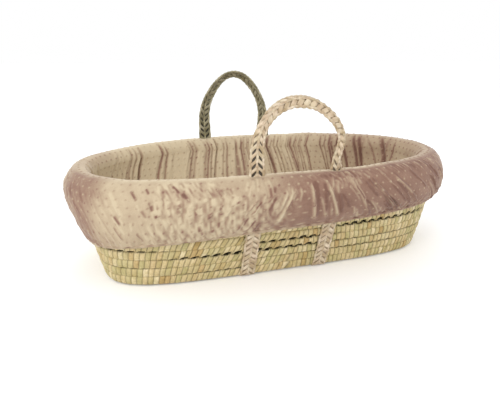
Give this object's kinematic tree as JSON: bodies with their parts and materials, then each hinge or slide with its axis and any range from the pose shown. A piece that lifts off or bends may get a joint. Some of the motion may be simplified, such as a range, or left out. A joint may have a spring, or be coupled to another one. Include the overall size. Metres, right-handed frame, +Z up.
{
  "type": "moses basket",
  "caption": "Oval coiled palm baby basket with plaited carrying handles, straps under the base, a padded plush cover over the rim, and a mattress in a fitted sheet.",
  "frame": {"origin": "on the ground under the middle of the basket", "axes": "+X along the basket, +Y to its far side, +Z up"},
  "size_m": [0.8486, 0.506, 0.3899],
  "materials": {
    "palm_leaf": "dry palm leaf, matt, colours varying from cream to olive",
    "palm_braid": "plaited palm leaf, satin",
    "plush": "short-pile plush with raised dots",
    "elastic": "plush hem over elastic",
    "wadding": "polyester wadding",
    "foam": "soft foam",
    "sheet": "cotton jersey"
  },
  "bodies": {
    "basket": {"base_core": "palm_leaf", "base_course_1": "palm_leaf", "base_course_2": "palm_leaf", "base_course_3": "palm_leaf", "base_course_4": "palm_leaf", "base_course_5": "palm_leaf", "base_course_6": "palm_leaf", "base_course_7": "palm_leaf", "wall_course_1": "palm_leaf", "wall_course_2": "palm_leaf", "wall_course_3": "palm_leaf", "wall_course_4": "palm_leaf", "wall_course_5": "palm_leaf", "wall_course_6": "palm_leaf", "wall_course_7": "palm_leaf", "wall_course_8": "palm_leaf", "wall_course_9": "palm_leaf", "wall_course_10": "palm_leaf", "rim_braid": "palm_braid", "under_strap_left": "palm_braid", "under_strap_right": "palm_braid", "strap_near_left": "palm_braid", "strap_near_right": "palm_braid", "strap_far_left": "palm_braid", "strap_far_right": "palm_braid", "bumper_wadding": "wadding", "rim_wadding": "wadding", "inner_panel": "plush", "skirt_panel": "plush", "hem_elastic": "elastic", "mattress": "foam", "fitted_sheet": "sheet"},
    "near_handle_body": {"near_handle": "palm_braid"},
    "far_handle_body": {"far_handle": "palm_braid"}
  },
  "joints": [
    {"name": "near_handle_swing", "type": "hinge", "parent": "basket", "child": "near_handle_body", "pos_m": [-0.008, -0.21891, 0.2274], "axis": [1, 0, 0], "range_deg": [-100, 105]},
    {"name": "far_handle_swing", "type": "hinge", "parent": "basket", "child": "far_handle_body", "pos_m": [0.002, 0.21891, 0.2274], "axis": [-1, 0, 0], "range_deg": [-100, 105]}
  ]
}
